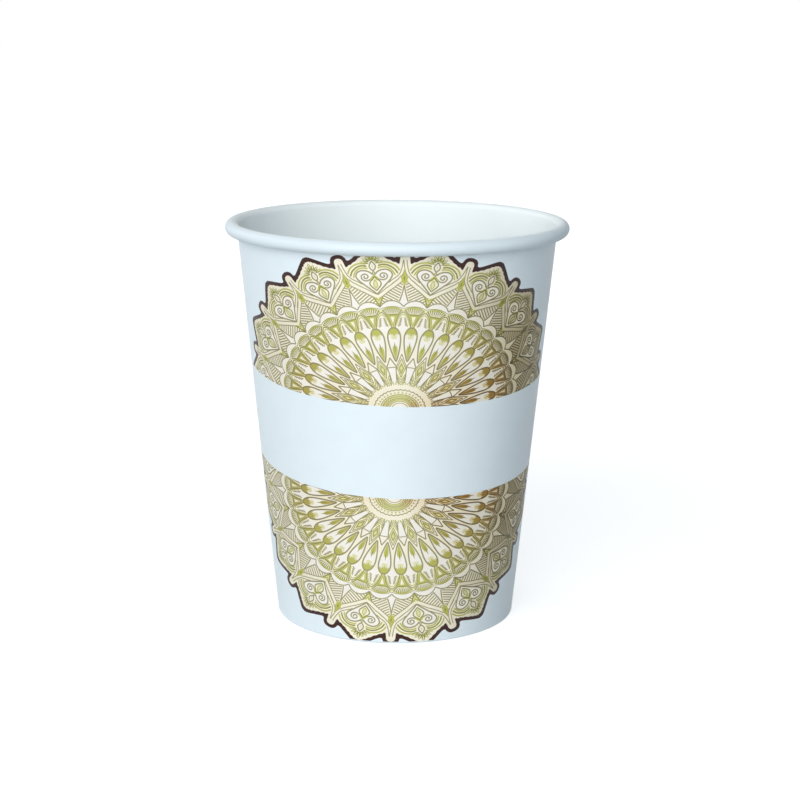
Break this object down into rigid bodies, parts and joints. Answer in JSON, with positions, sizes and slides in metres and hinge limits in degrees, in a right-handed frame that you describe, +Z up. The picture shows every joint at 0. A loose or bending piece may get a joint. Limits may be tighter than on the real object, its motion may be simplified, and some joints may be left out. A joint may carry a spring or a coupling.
{
  "type": "paper dessert cup",
  "caption": "Round printed paper cup that widens upwards, with a rolled rim, a lapped seam and a recessed base disc in a folded hem.",
  "frame": {"origin": "centre of the standing edge, on the table", "axes": "+Z up along the cup's axis; the printed front looks along -Y, and the seam is on the -X side, 10 degrees towards the back"},
  "size_m": [0.08, 0.08, 0.094],
  "materials": {
    "printed_board": "smooth bleached board, printed outside, with a thin plastic film inside",
    "base_board": "smooth bleached board with a thin plastic film on its upper face"
  },
  "bodies": {
    "root": {"side_wall": "printed_board", "base_disc": "base_board"}
  },
  "joints": []
}
